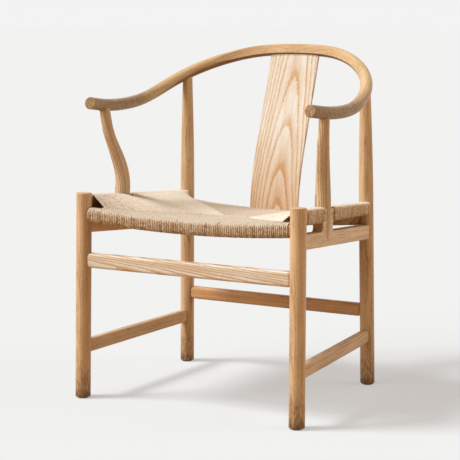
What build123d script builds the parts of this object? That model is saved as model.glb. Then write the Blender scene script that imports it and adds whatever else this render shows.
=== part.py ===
from build123d import *
from math import cos, radians, sin, sqrt
import os

# Horseshoe back armchair in ash with a woven paper cord seat.
# Millimetres. +Z is up, the sitter faces -Y, and the origin is on the floor
# under the middle of the chair's outline. "Right" pieces are the ones at +X.

os.makedirs("parts", exist_ok=True)

# ---------------------------------------------------------------- dimensions

overall_depth = 570.0        # front of the front feet to the back of the bow

# Legs. Feet are given at the floor, tops at the end of each leg.
glide_thickness = 2.5
glide_diameter = 25.0
glide_pin_diameter = 3.0
glide_pin_length = 14.0
front_leg_diameter = 35.0
front_leg_height = 472.5
front_foot_spacing = 548.0
front_top_spacing = 539.5
front_leg_rake = 9.8         # how far the top stands behind the foot
rear_leg_diameter = 34.0
rear_leg_neck_diameter = 23.0
rear_foot_spacing = 498.0
foot_depth = 429.0           # front foot centre to rear foot centre
rear_taper_start = 440.0
foot_easing = 1.5
rim_easing = 2.0             # rounding of the front legs' upper rims

# Bow: one bent round rail that is both the back and the arms.
bow_diameter = 28.0
back_height = 785.0          # centre line at the middle of the back
arm_low_height = 662.0       # centre line at the lowest part of the arms
arm_end_height = 672.0
arm_half_spread = 284.0      # centre line at the widest part of the arms
arm_end_half_spread = 276.5
arm_end_reach = 219.0        # arm ends lie this far in front of the origin
arm_low_reach = 92.0
arm_end_easing = 1.6
back_facet_depth = 4.5       # how deep the flat for the back is planed
back_facet_end_y = 201.0     # where the flat runs out on each side
back_facet_lean = 17.0       # degrees that the flat looks upwards
facet_steps = 10
dip_sections = 12
bow_sections = 24

# Where the uprights meet the bow, measured along Y.
rear_leg_top_y = 150.5
arm_post_top_y = -158.5

# Splat
splat_width = 129.0
splat_thickness = 7.0
splat_tongue = 9.0           # how far the top is let into the bow
splat_edge_easing = 1.2
splat_foot_width = 16.0
splat_foot_depth = 17.0
splat_foot_inset = 3.0

# Side rails: one slotted board on each side, sloping down to the back.
rail_thickness = 25.0
rail_height = 82.4
rail_front_top = 465.4       # top edge at the front leg's centre line
rail_fall = 32.4             # how much lower the board is at the rear leg
upper_bar_front = 27.3
upper_bar_rear = 21.0
lower_bar_height = 32.8
slot_corner_radius = 8.0
bridge_width = 59.0          # solid stretch of board that carries the arm post
rail_edge_easing = 2.5
post_position = -68.0        # along the board, from its middle

# Arm posts
post_top_diameter = 23.2
post_seat_diameter = 34.6
post_tip_diameter = 23.6
post_tip_rise = 9.0          # tip above the lower edge of the board
post_web = 12.0              # wood left in the board between the two cheeks

# Front and rear seat rails: round-edged bars that dip in the middle.
bar_depth = 20.0
bar_height = 25.0
bar_dip = 13.0
bar_edge_radius = 6.0
front_bar_height = 425.8     # centre of the bar's ends above the floor
rear_bar_height = 400.0

# Stretchers
stretcher_thickness = 20.0
stretcher_edge_radius = 6.5
stretcher_end_radius = 9.0
front_stretcher_rise = 320.0
front_stretcher_height = 34.0
side_stretcher_rise = 119.0
side_stretcher_height = 31.5
rear_stretcher_rise = 179.0
rear_stretcher_height = 31.0

# Joinery
joint_gap = 0.15             # glue line on every joint face
mortise_floor_gap = 1.0
tenon_thickness = 11.0
tenon_shoulder = 3.5         # top and bottom shoulder of each tenon
tenon_past_axis = 8.0        # how far a tenon runs past the leg's axis
round_tenon_diameter = 14.0
post_tenon_diameter = 11.0
round_tenon_sink = 4.0       # tenon end above the bow's centre line

# Cord seat
cord_thickness = 3.4
cord_gap = 0.3
seat_core_thickness = 11.0   # where the upper and lower layers close
seat_core_height = 401.0
seat_core_width = 68.0
seat_core_y = -32.0
side_core_width = 172.0       # where the side layers close, along the seat
side_core_y = -46.0
corner_clearance = 4.5       # first cord to leg

# ------------------------------------------------------------- derived lines

half_depth = overall_depth / 2
up = Vector(0, 0, 1)

front_foot = Vector(front_foot_spacing / 2, front_leg_diameter / 2 - half_depth, 0)
front_top = Vector(front_top_spacing / 2, front_foot.Y + front_leg_rake, front_leg_height)
rear_foot = Vector(rear_foot_spacing / 2, front_foot.Y + foot_depth, 0)

bow_radius = bow_diameter / 2
bow_back_y = half_depth - bow_radius

# Half of the bow's centre line from the middle of the back to the arm's end.
bow_half = [
    (0, bow_back_y, back_height),
    (107.5, bow_back_y - 10.0, back_height - 6.6),
    (196.0, bow_back_y - 69.5, back_height - 33.5),
    (arm_half_spread - 30.5, bow_back_y - 149.0, arm_low_height + 51.3),
    (arm_half_spread - 6.2, bow_back_y - 243.5, arm_low_height + 13.6),
    (arm_half_spread, -arm_low_reach, arm_low_height),
    (arm_end_half_spread, -arm_end_reach, arm_end_height),
]


def mirrored(point):
    return (-point[0], point[1], point[2])


def on_leg(foot, top, height):
    """Point of a leg's axis at a height above the floor."""
    return foot + (top - foot) * ((height - foot.Z) / (top.Z - foot.Z))


def axis_plane(start, end):
    """Plane through an axis: local x is the radius and local y runs along it."""
    along = (end - start).normalized()
    across = (Vector(1, 0, 0) - along * along.X).normalized()
    return Plane(origin=start, x_dir=across, z_dir=across.cross(along))


def bar_plane(start, end):
    """Plane of a bar between two points: x along the bar, y up, z sideways."""
    along = (end - start).normalized()
    return Plane(origin=(start + end) * 0.5, x_dir=along, z_dir=along.cross(up).normalized())


with BuildLine() as bow_line:
    Spline(*[mirrored(point) for point in reversed(bow_half[1:])], *bow_half)
bow_path = bow_line.edges()[0]


def bow_station(depth):
    """Share of the bow's length at which its right half passes a Y position."""
    back, front = 0.5, 1.0
    for _ in range(40):
        middle = (back + front) / 2
        if (bow_path @ middle).Y > depth:
            back = middle
        else:
            front = middle
    return (back + front) / 2


rear_top = bow_path @ bow_station(rear_leg_top_y)
post_top = bow_path @ bow_station(arm_post_top_y)

# Side rail board, drawn in the upright plane through both leg axes.
rail_level = rail_front_top - rail_height / 2
rail_front = on_leg(front_foot, front_top, rail_level)
rail_rear = on_leg(rear_foot, rear_top, rail_level - rail_fall)
rail_plane = bar_plane(rail_front, rail_rear)
rail_length = (rail_rear - rail_front).length

post_foot = rail_plane.from_local_coords(Vector(post_position, 0, 0))
post_tip = post_foot - up * (rail_height / 2 - post_tip_rise)

front_bar_end = on_leg(front_foot, front_top, front_bar_height)
rear_bar_end = on_leg(rear_foot, rear_top, rear_bar_height)


# ------------------------------------------------------- shapes used by joints


def bow_tube(extra):
    """The bow's round section along its whole line, grown by extra."""
    with BuildPart() as tube:
        for step in range(bow_sections + 1):
            share = step / bow_sections
            with BuildSketch(Plane(origin=bow_path @ share, x_dir=up, z_dir=bow_path % share)):
                Circle(bow_radius + extra)
        loft()
    return tube.part


def round_tenon(point, direction, diameter, gap):
    """Round tenon that rises through the bow's underside along an upright's axis."""
    along = direction.normalized()
    length = bow_diameter + round_tenon_sink + (mortise_floor_gap if gap else 0)
    with BuildPart() as tenon:
        with BuildSketch(Plane(origin=point - along * bow_diameter, z_dir=along)):
            Circle(diameter / 2 + gap)
        extrude(amount=length)
    return tenon.part


def tenon_blocks(plane, span, spots, gap):
    """Flat tenons at the ends of a bar; spots are (end, offset, height)."""
    inner = span / 2 - front_leg_diameter
    outer = span / 2 + tenon_past_axis + (mortise_floor_gap if gap else 0)
    with BuildPart() as blocks:
        with BuildSketch(plane):
            for end, offset, height in spots:
                with Locations((end * (inner + outer) / 2, offset)):
                    Rectangle(outer - inner, height + 2 * gap)
        extrude(amount=tenon_thickness / 2 + gap, both=True)
    return blocks.part


def upper_bar_edge(position):
    """Lower edge of the side rail's upper bar at a place along the board."""
    share = position / rail_length + 0.5
    return rail_height / 2 - upper_bar_front - (upper_bar_rear - upper_bar_front) * share


def rail_tenon_spots():
    shoulder = 2 * tenon_shoulder
    lower_middle = (lower_bar_height - rail_height) / 2
    spots = []
    for end, depth in ((-1, upper_bar_front), (1, upper_bar_rear)):
        spots.append((end, (rail_height - depth) / 2, depth - shoulder))
        spots.append((end, lower_middle, lower_bar_height - shoulder))
    return spots


def level_tenon_spots(height):
    return [(end, 0, height - 2 * tenon_shoulder) for end in (-1, 1)]


def leg_round(foot, top, radius, length):
    """Plain round of a leg, from below the floor, used to scribe shoulders."""
    along = (top - foot).normalized()
    with BuildPart() as rod:
        with BuildSketch(Plane(origin=foot - along * 20, z_dir=along)):
            Circle(radius)
        extrude(amount=length + 20)
    return rod.part


def scribe_pair(foot, top, radius):
    """Cutters for the shoulders at a leg and at its mirror image."""
    rod = leg_round(foot, top, radius + joint_gap, front_leg_height)
    return [rod, mirror(rod, about=Plane.YZ)]


front_scribes = scribe_pair(front_foot, front_top, front_leg_diameter / 2)
rear_scribes = scribe_pair(rear_foot, rear_top, rear_leg_diameter / 2)


def dip_at(span, distance):
    """How far a dipped line hangs below its ends, at a distance from its middle."""
    radius = (span**2 / 4 + bar_dip**2) / (2 * bar_dip)
    return bar_dip - radius + sqrt(radius**2 - distance**2)


def dipped_outline(span, length, extra):
    """Side view of a bar that dips over its span, cut to length."""
    rise = bar_height / 2 + extra
    end_dip = dip_at(span, length / 2)
    with BuildSketch() as outline:
        with BuildLine():
            for edge in (rise, -rise):
                ThreePointArc(
                    (-length / 2, edge - end_dip),
                    (0, edge - bar_dip),
                    (length / 2, edge - end_dip),
                )
            for end in (-length / 2, length / 2):
                Line((end, -rise - end_dip), (end, rise - end_dip))
        make_face()
    return outline.sketch


def dipped_bar(plane, span, length, extra):
    """Round-edged dipped bar between two legs, cut to length and grown by extra."""
    with BuildPart() as bar:
        for step in range(dip_sections + 1):
            along = length * (step / dip_sections - 0.5)
            middle = plane.from_local_coords(Vector(along, -dip_at(span, along), 0))
            with BuildSketch(Plane(origin=middle, x_dir=plane.z_dir, z_dir=plane.x_dir)):
                RectangleRounded(
                    bar_depth + 2 * extra, bar_height + 2 * extra, bar_edge_radius + extra
                )
        loft()
    return bar.part


def post_round(extra):
    """The arm post's turned form along its curved line, grown by extra."""
    with BuildPart() as post:
        for share, diameter in post_girths:
            with BuildSketch(Plane(origin=post_path @ share, z_dir=post_path % share)):
                Circle(diameter / 2 + extra)
        loft()
    return post.part


def splat_panel(gap):
    """The curved back panel with eased edges, grown by gap on every side."""
    with BuildPart() as panel:
        with BuildSketch(Plane.YZ):
            with BuildLine():
                Spline(*splat_line)
            trace(line_width=splat_thickness + 2 * gap)
        extrude(amount=splat_width / 2 + gap, both=True)
        sides = panel.faces().sort_by(Axis.X)
        corners = sides[0].edges() + sides[-1].edges()
        fillet([edge for edge in corners if edge.length > back_height / 3], splat_edge_easing)
    return panel.part


def splat_feet(gap):
    """Two tenons under the splat; the cord winds round the bar between them."""
    foot_x = splat_width / 2 - splat_foot_inset - splat_foot_width / 2
    foot_bottom = splat_base - splat_foot_depth - (mortise_floor_gap if gap else 0)
    with BuildPart() as feet:
        with BuildSketch(Plane.XY.offset(foot_bottom)):
            with Locations((-foot_x, rear_bar_end.Y), (foot_x, rear_bar_end.Y)):
                Rectangle(splat_foot_width + 2 * gap, splat_thickness - 1 + 2 * gap)
        extrude(amount=splat_base + 2 * cord_thickness - foot_bottom)
    return feet.part


# Splat line, middle of its thickness, from the foot up to the bow.
splat_base = rear_bar_height + bar_height / 2 - bar_dip
splat_line = [
    (rear_bar_end.Y, splat_base),
    (rear_bar_end.Y + 17.0, splat_base + 104.0),
    (rear_bar_end.Y + 51.5, splat_base + 206.0),
    (bow_back_y - 35.8, back_height - 101.5),
    (bow_back_y - 2.6, back_height - bow_radius + splat_tongue),
]

# Arm post line from its tip inside the board to the middle of the arm.
with BuildLine() as post_line:
    Spline(
        post_tip,
        post_foot + up * 8,
        post_foot + Vector(-2.6, 4.2, 66),
        post_foot + Vector(1.8, -4.9, 116),
        post_top + Vector(-12.0, 18.0, -84),
        post_top + Vector(-1.4, 2.0, -30),
        post_top,
    )
post_path = post_line.edges()[0]
post_girths = [
    (0.0, post_tip_diameter),
    (0.08, post_seat_diameter * 0.88),
    (0.18, post_seat_diameter),
    (0.34, post_seat_diameter),
    (0.58, post_seat_diameter * 0.86),
    (0.80, post_seat_diameter * 0.735),
    (1.0, post_top_diameter),
]


# ------------------------------------------------------------- bar positions


def level_plane(foot, top, height):
    """Plane of a bar that joins a leg to its mirror image at one height."""
    right = on_leg(foot, top, height)
    return bar_plane(Vector(-right.X, right.Y, right.Z), right), 2 * right.X


def side_plane(height):
    """Plane of the bar that joins the two right legs at one height."""
    front = on_leg(front_foot, front_top, height)
    rear = on_leg(rear_foot, rear_top, height)
    return bar_plane(front, rear), (rear - front).length


front_bar_plane, front_bar_span = level_plane(front_foot, front_top, front_bar_height)
rear_bar_plane, rear_bar_span = level_plane(rear_foot, rear_top, rear_bar_height)
front_stretcher_plane, front_stretcher_span = level_plane(
    front_foot, front_top, front_stretcher_rise)
rear_stretcher_plane, rear_stretcher_span = level_plane(
    rear_foot, rear_top, rear_stretcher_rise)
side_stretcher_plane, side_stretcher_span = side_plane(side_stretcher_rise)


def side_rail_tenons(gap):
    return tenon_blocks(rail_plane, rail_length, rail_tenon_spots(), gap)


def front_bar_tenons(gap):
    return tenon_blocks(front_bar_plane, front_bar_span, level_tenon_spots(bar_height), gap)


def rear_bar_tenons(gap):
    return tenon_blocks(rear_bar_plane, rear_bar_span, level_tenon_spots(bar_height), gap)


def front_stretcher_tenons(gap):
    spots = level_tenon_spots(front_stretcher_height)
    return tenon_blocks(front_stretcher_plane, front_stretcher_span, spots, gap)


def rear_stretcher_tenons(gap):
    spots = level_tenon_spots(rear_stretcher_height)
    return tenon_blocks(rear_stretcher_plane, rear_stretcher_span, spots, gap)


def side_stretcher_tenons(gap):
    spots = level_tenon_spots(side_stretcher_height)
    return tenon_blocks(side_stretcher_plane, side_stretcher_span, spots, gap)


# --------------------------------------------------------------------- glides

glide_sites = {"front": (front_foot, front_top), "rear": (rear_foot, rear_top)}
right_side = {}


def glide_pin(site, gap):
    """Nail of a glide, driven up into the foot of a leg."""
    foot, top = glide_sites[site]
    centre = on_leg(foot, top, glide_thickness)
    with BuildPart() as pin:
        with BuildSketch(Plane(origin=(centre.X, centre.Y, glide_thickness / 2))):
            Circle(glide_pin_diameter / 2 + gap)
        extrude(amount=glide_pin_length + glide_thickness / 2 + (mortise_floor_gap if gap else 0))
    return pin.part


for site, (foot, top) in glide_sites.items():
    glide_centre = on_leg(foot, top, glide_thickness)
    with BuildPart() as glide:
        with BuildSketch(Plane(origin=(glide_centre.X, glide_centre.Y, 0))):
            Circle(glide_diameter / 2)
        extrude(amount=glide_thickness)
        fillet(glide.faces().sort_by(Axis.Z)[0].edges(), glide_thickness * 0.4)
        add(glide_pin(site, 0))
    right_side["glide_" + site] = glide.part


# ----------------------------------------------------------------------- legs

front_leg_radius = front_leg_diameter / 2
front_leg_length = (front_top - front_foot).length

with BuildPart() as front_leg:
    with BuildSketch(Plane(origin=front_top, z_dir=front_foot - front_top)):
        Circle(front_leg_diameter / 2)
    extrude(amount=front_leg_length + front_leg_diameter)
    fillet(front_leg.faces().sort_by(Axis.Z)[-1].edges(), rim_easing)
    split(bisect_by=Plane.XY.offset(glide_thickness), keep=Keep.TOP)
    chamfer(front_leg.faces().sort_by(Axis.Z)[0].edges(), foot_easing)
    add(glide_pin("front", joint_gap), mode=Mode.SUBTRACT)
    add(side_rail_tenons(joint_gap), mode=Mode.SUBTRACT)
    add(front_bar_tenons(joint_gap), mode=Mode.SUBTRACT)
    add(front_stretcher_tenons(joint_gap), mode=Mode.SUBTRACT)
    add(side_stretcher_tenons(joint_gap), mode=Mode.SUBTRACT)
right_side["front_leg"] = front_leg.part

rear_leg_axis = Axis(rear_foot, rear_top - rear_foot)
rear_leg_radius = rear_leg_diameter / 2
rear_neck_radius = rear_leg_neck_diameter / 2
rear_leg_length = (rear_top - rear_foot).length

with BuildPart() as rear_leg:
    with BuildSketch(axis_plane(rear_foot, rear_top)):
        with BuildLine():
            Polyline(
                (0, rear_leg_length),
                (0, -rear_leg_diameter),
                (rear_leg_radius, -rear_leg_diameter),
                (rear_leg_radius, rear_taper_start),
            )
            Spline(
                (rear_leg_radius, rear_taper_start),
                (rear_neck_radius, rear_leg_length),
                tangents=((0, 1), (rear_neck_radius - rear_leg_radius, 200)),
            )
            Line((rear_neck_radius, rear_leg_length), (0, rear_leg_length))
        make_face()
    revolve(axis=rear_leg_axis)
    split(bisect_by=Plane.XY.offset(glide_thickness), keep=Keep.TOP)
    chamfer(rear_leg.faces().sort_by(Axis.Z)[0].edges(), foot_easing)
    add(bow_tube(joint_gap), mode=Mode.SUBTRACT)
    add(round_tenon(rear_top, rear_top - rear_foot, round_tenon_diameter, 0))
    add(glide_pin("rear", joint_gap), mode=Mode.SUBTRACT)
    add(side_rail_tenons(joint_gap), mode=Mode.SUBTRACT)
    add(rear_bar_tenons(joint_gap), mode=Mode.SUBTRACT)
    add(rear_stretcher_tenons(joint_gap), mode=Mode.SUBTRACT)
    add(side_stretcher_tenons(joint_gap), mode=Mode.SUBTRACT)
right_side["rear_leg"] = rear_leg.part


# ------------------------------------------------------------------ arm posts


def post_web_block(gap):
    """Wood of the board that stays between the two cheeks of the post."""
    with BuildPart() as web:
        with BuildSketch(rail_plane):
            with Locations((post_position, 0)):
                Rectangle(bridge_width, rail_height + 2 * gap)
        extrude(amount=post_web / 2 + gap, both=True)
    return web.part


with BuildPart() as arm_post:
    add(post_round(0))
    add(post_web_block(joint_gap), mode=Mode.SUBTRACT)
    add(bow_tube(joint_gap), mode=Mode.SUBTRACT)
    add(round_tenon(post_top, post_path % 1, post_tenon_diameter, 0))
right_side["arm_post"] = arm_post.part


# ----------------------------------------------------------------- side rails

bridge_front = post_position - bridge_width / 2
bridge_rear = post_position + bridge_width / 2
slot_floor = lower_bar_height - rail_height / 2
board_half = rail_length / 2 - rear_leg_radius + stretcher_edge_radius

with BuildPart() as side_rail:
    with BuildSketch(rail_plane):
        Rectangle(2 * board_half, rail_height)
    extrude(amount=rail_thickness / 2, both=True)
    with BuildSketch(rail_plane) as slots:
        for leg_end, bridge_end in ((-board_half, bridge_front), (board_half, bridge_rear)):
            with BuildLine():
                Polyline(
                    (leg_end, slot_floor),
                    (bridge_end, slot_floor),
                    (bridge_end, upper_bar_edge(bridge_end)),
                    (leg_end, upper_bar_edge(leg_end)),
                    close=True,
                )
            make_face()
        fillet(
            [corner for corner in slots.vertices() if abs(corner.X) < board_half - 1],
            slot_corner_radius,
        )
    extrude(amount=rail_thickness, both=True, mode=Mode.SUBTRACT)
    wide_faces = side_rail.faces().sort_by(Axis(rail_plane.origin, rail_plane.z_dir))
    fillet(wide_faces[0].edges() + wide_faces[-1].edges(), rail_edge_easing)
    for scribe in (front_scribes[0], rear_scribes[0]):
        add(scribe, mode=Mode.SUBTRACT)
    with BuildPart(mode=Mode.PRIVATE) as post_housing:
        add(post_round(joint_gap))
        add(post_web_block(0), mode=Mode.SUBTRACT)
    add(post_housing.part, mode=Mode.SUBTRACT)
    add(side_rail_tenons(0))
right_side["side_rail"] = side_rail.part


# ----------------------------------------------------------------- stretchers


def stretcher_bar(plane, span, height):
    """Flat oval bar with eased corners, long enough to be scribed to its legs."""
    with BuildPart() as bar:
        with BuildSketch(plane):
            RectangleRounded(span - front_leg_diameter + 8, height, stretcher_end_radius)
        extrude(amount=stretcher_thickness / 2, both=True)
        across = Axis(plane.origin, plane.z_dir)
        faces = bar.faces().sort_by(across)
        fillet(faces[0].edges() + faces[-1].edges(), stretcher_edge_radius)
    return bar.part


with BuildPart() as side_stretcher:
    add(stretcher_bar(side_stretcher_plane, side_stretcher_span, side_stretcher_height))
    for scribe in (front_scribes[0], rear_scribes[0]):
        add(scribe, mode=Mode.SUBTRACT)
    add(side_stretcher_tenons(0))
right_side["side_stretcher"] = side_stretcher.part

with BuildPart() as front_stretcher:
    add(stretcher_bar(front_stretcher_plane, front_stretcher_span, front_stretcher_height))
    for scribe in front_scribes:
        add(scribe, mode=Mode.SUBTRACT)
    add(front_stretcher_tenons(0))

with BuildPart() as rear_stretcher:
    add(stretcher_bar(rear_stretcher_plane, rear_stretcher_span, rear_stretcher_height))
    for scribe in rear_scribes:
        add(scribe, mode=Mode.SUBTRACT)
    add(rear_stretcher_tenons(0))


# ------------------------------------------------------ front and rear rails

with BuildPart() as front_rail:
    add(dipped_bar(front_bar_plane, front_bar_span, front_bar_span, 0))
    for scribe in front_scribes:
        add(scribe, mode=Mode.SUBTRACT)
    add(front_bar_tenons(0))

with BuildPart() as rear_rail:
    add(dipped_bar(rear_bar_plane, rear_bar_span, rear_bar_span, 0))
    for scribe in rear_scribes:
        add(scribe, mode=Mode.SUBTRACT)
    add(rear_bar_tenons(0))
    add(splat_feet(joint_gap), mode=Mode.SUBTRACT)


# ------------------------------------------------------------------- the bow


def facet_block():
    """Block whose near face planes the flat for the sitter's back."""
    reach = bow_station(back_facet_end_y) - 0.5
    lean = radians(back_facet_lean)
    with BuildPart() as block:
        for step in range(-facet_steps, facet_steps + 1):
            share = step / facet_steps
            centre = bow_path @ (0.5 + share * reach)
            along = bow_path % (0.5 + share * reach)
            inward = along.cross(up).normalized() * cos(lean) + up * sin(lean)
            near = bow_radius - back_facet_depth * (1 - share ** 4)
            with BuildSketch(Plane(origin=centre, x_dir=inward, z_dir=along)):
                with Locations((near + bow_radius * 0.6, 0)):
                    Rectangle(bow_radius * 1.2, bow_radius * 2.4)
        loft()
    return block.part


with BuildPart() as bow:
    add(bow_tube(0))
    rims = bow.faces().filter_by(GeomType.PLANE).edges()
    fillet(rims, arm_end_easing)
    for side in (1, -1):
        leg_tenon = round_tenon(rear_top, rear_top - rear_foot, round_tenon_diameter, joint_gap)
        post_tenon = round_tenon(post_top, post_path % 1, post_tenon_diameter, joint_gap)
        for tenon in (leg_tenon, post_tenon):
            add(tenon if side > 0 else mirror(tenon, about=Plane.YZ), mode=Mode.SUBTRACT)
    add(splat_panel(joint_gap), mode=Mode.SUBTRACT)
    add(facet_block(), mode=Mode.SUBTRACT)


# ---------------------------------------------------------------------- splat

with BuildPart() as splat:
    add(splat_panel(0))
    add(
        dipped_bar(rear_bar_plane, rear_bar_span, rear_bar_span / 2, cord_thickness + cord_gap),
        mode=Mode.SUBTRACT,
    )
    split(bisect_by=Plane.XY.offset(splat_base), keep=Keep.TOP)
    add(splat_feet(0))


# ------------------------------------------------------------------ cord seat


def upper_bar_body(start, end, extra):
    """Stretch of a side rail's upper bar between two places, grown by extra."""
    with BuildPart() as stretch:
        with BuildSketch(rail_plane):
            with BuildLine():
                Polyline(
                    (start, rail_height / 2 + extra),
                    (end, rail_height / 2 + extra),
                    (end, upper_bar_edge(end) - extra),
                    (start, upper_bar_edge(start) - extra),
                    close=True,
                )
            make_face()
        extrude(amount=rail_thickness / 2 + extra, both=True)
        along = stretch.edges().filter_by(lambda edge: edge.length > 0.8 * (end - start))
        fillet(along, rail_edge_easing + extra)
    return stretch.part


def side_outline():
    """Side view of the cord that leaves a side rail for the middle of the seat."""
    with BuildSketch() as outline:
        with BuildLine():
            Polyline(
                (wrap_front, rail_height / 2),
                (wrap_rear, rail_height / 2),
                (wrap_rear, upper_bar_edge(wrap_rear)),
                (wrap_front, upper_bar_edge(wrap_front)),
                close=True,
            )
        make_face()
    return outline.sketch


def inward(plane):
    """Sign of the plane's normal that points to the middle of the seat."""
    towards_middle = Vector(0, seat_core_y, seat_core_height) - plane.origin
    return 1 if towards_middle.dot(plane.z_dir) > 0 else -1


def seat_wedge(start, outline, middle, width):
    """Quarter of the seat: the layers of cord close from a rail to the middle."""
    with BuildPart() as wedge:
        with BuildSketch(start):
            add(outline)
        with BuildSketch(middle):
            Rectangle(width, seat_core_thickness)
        loft()
    return wedge.part


wrap_front = -rail_length / 2 + front_leg_radius + corner_clearance
wrap_rear = rail_length / 2 - rear_leg_radius - corner_clearance
front_wrap_span = front_bar_span - 2 * (front_leg_radius + corner_clearance)
rear_wrap_span = rear_bar_span - 2 * (rear_leg_radius + corner_clearance)
bridge_cover = bridge_width + 2 * slot_corner_radius

across_middle = Plane(origin=(0, seat_core_y, seat_core_height), x_dir=(1, 0, 0), z_dir=(0, -1, 0))
along_middle = Plane(origin=(0, side_core_y, seat_core_height), x_dir=(0, 1, 0), z_dir=(1, 0, 0))
front_inside = front_bar_plane.offset(inward(front_bar_plane) * (bar_depth / 2 + cord_gap))
rear_inside = rear_bar_plane.offset(inward(rear_bar_plane) * (bar_depth / 2 + cord_gap))
side_inside = rail_plane.offset(inward(rail_plane) * (rail_thickness / 2 + cord_gap))
front_inner = dipped_outline(front_bar_span, front_wrap_span, 0)
rear_inner = dipped_outline(rear_bar_span, rear_wrap_span, 0)

with BuildPart() as right_cord:
    add(upper_bar_body(wrap_front, bridge_front, cord_thickness))
    add(upper_bar_body(bridge_rear, wrap_rear, cord_thickness))
    with BuildSketch(rail_plane):
        with Locations((post_position, 0)):
            Rectangle(bridge_cover, 2 * rail_height)
    extrude(amount=rail_thickness / 2 + cord_gap, both=True, mode=Mode.SUBTRACT)
    add(upper_bar_body(-board_half, board_half, cord_gap), mode=Mode.SUBTRACT)
    add(seat_wedge(side_inside, side_outline(), along_middle, side_core_width))
    add(post_round(cord_gap), mode=Mode.SUBTRACT)

with BuildPart() as seat_cord:
    add(seat_wedge(front_inside, front_inner, across_middle, seat_core_width))
    add(seat_wedge(rear_inside, rear_inner, across_middle, seat_core_width))
    add(right_cord.part)
    add(mirror(right_cord.part, about=Plane.YZ))
    add(dipped_bar(front_bar_plane, front_bar_span, front_wrap_span, cord_thickness))
    add(dipped_bar(rear_bar_plane, rear_bar_span, rear_wrap_span, cord_thickness))
    add(dipped_bar(front_bar_plane, front_bar_span, front_bar_span, cord_gap), mode=Mode.SUBTRACT)
    add(dipped_bar(rear_bar_plane, rear_bar_span, rear_bar_span, cord_gap), mode=Mode.SUBTRACT)
    add(splat_feet(cord_gap), mode=Mode.SUBTRACT)
    add(splat_panel(cord_gap), mode=Mode.SUBTRACT)


# --------------------------------------------------------------------- export

centre_pieces = {
    "bow": bow.part,
    "splat": splat.part,
    "front_rail": front_rail.part,
    "rear_rail": rear_rail.part,
    "front_stretcher": front_stretcher.part,
    "rear_stretcher": rear_stretcher.part,
    "seat_cord": seat_cord.part,
}

pieces = dict(centre_pieces)
for name, piece in right_side.items():
    pieces[name + "_right"] = piece
    pieces[name + "_left"] = mirror(piece, about=Plane.YZ)

for name, piece in pieces.items():
    piece.label = name
    export_step(piece, "parts/" + name + ".step")
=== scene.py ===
# %% [markdown]
# # An ash armchair with a paper cord seat
#
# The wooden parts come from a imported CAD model, which sets their shape and
# place. Here Blender gives them grain, winds the cord of the seat as real
# strands, and lights the whole chair as a product picture on white. Lengths
# are in metres. x runs across the chair, -y is its front and z is up.

import math

import bpy
import numpy as np
from mathutils import Euler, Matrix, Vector


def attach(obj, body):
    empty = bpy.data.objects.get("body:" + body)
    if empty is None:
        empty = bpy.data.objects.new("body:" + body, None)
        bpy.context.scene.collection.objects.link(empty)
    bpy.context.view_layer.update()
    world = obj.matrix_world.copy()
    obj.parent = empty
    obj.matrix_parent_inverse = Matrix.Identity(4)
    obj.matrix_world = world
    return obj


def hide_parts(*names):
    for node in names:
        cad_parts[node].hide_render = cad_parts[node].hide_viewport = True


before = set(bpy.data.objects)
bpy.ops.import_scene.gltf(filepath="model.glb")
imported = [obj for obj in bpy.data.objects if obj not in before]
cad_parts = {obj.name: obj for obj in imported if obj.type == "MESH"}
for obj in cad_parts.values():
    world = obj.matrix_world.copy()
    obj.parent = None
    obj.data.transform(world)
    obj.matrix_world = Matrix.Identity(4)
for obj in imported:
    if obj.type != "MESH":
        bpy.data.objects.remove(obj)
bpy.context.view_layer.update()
print("CAD nodes:", len(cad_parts))

# %% [markdown]
# ## The camera
#
# The camera comes first, so that everything after it can be judged in the
# picture. It stands more than three metres away with a long lens, which
# keeps the legs almost parallel. The focal length is kept in pixels of the
# picture, so it doesn't depend on the sensor that Blender assumes.

# %% Camera
PICTURE_WIDTH = 460  # pixels
FOCAL_PIXELS = 1491.13
SENSOR_WIDTH = 36.0  # millimetres
CAMERA_PLACE = (1.63579, -3.02594, 0.87972)
CAMERA_TILT = 8.37721  # degrees below the horizon
CAMERA_TURN = 28.91598  # degrees round the upright axis

scene = bpy.context.scene
camera_data = bpy.data.cameras.new("camera")
camera_data.sensor_width = SENSOR_WIDTH
camera_data.lens = FOCAL_PIXELS / PICTURE_WIDTH * SENSOR_WIDTH
camera = bpy.data.objects.new("camera", camera_data)
camera.location = CAMERA_PLACE
camera.rotation_euler = Euler(
    (math.radians(90 - CAMERA_TILT), 0, math.radians(CAMERA_TURN)), "XYZ"
)
scene.collection.objects.link(camera)
scene.camera = camera
print("Lens in mm:", round(camera_data.lens, 2))

# %% [markdown]
# ## Small helpers for node trees
#
# Materials, the world and the floor are all node trees. They could be drawn
# by hand in the editor, but a script repeats them without slips. A number or
# colour goes on the node's own input, and anything else is linked.

# %% Node helpers


def add_node(tree, kind, **settings):
    """New node of a kind, with its settings."""
    node = tree.nodes.new(kind)
    for name, value in settings.items():
        setattr(node, name, value)
    return node


def feed(tree, socket, value):
    """Number or colour on the socket itself, or a link from another socket."""
    if isinstance(value, (int, float)):
        socket.default_value = value
    elif isinstance(value, tuple):
        socket.default_value = (*value, 1) if len(socket.default_value) == 4 else value
    elif value is not None:
        tree.links.new(value, socket)


def maths(tree, operation, first, second=None, third=None, clamp=False):
    """Result of one Math node."""
    node = add_node(tree, "ShaderNodeMath", operation=operation, use_clamp=clamp)
    for socket, value in zip(node.inputs, (first, second, third)):
        feed(tree, socket, value)
    return node.outputs[0]


def mixed_light(tree, factor, first, second):
    """Mix of two shaders."""
    node = add_node(tree, "ShaderNodeMixShader")
    for socket, value in zip(node.inputs, (factor, first, second)):
        feed(tree, socket, value)
    return node.outputs[0]


def grey(value):
    """Colour without a hue."""
    return (value, value, value)


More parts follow.
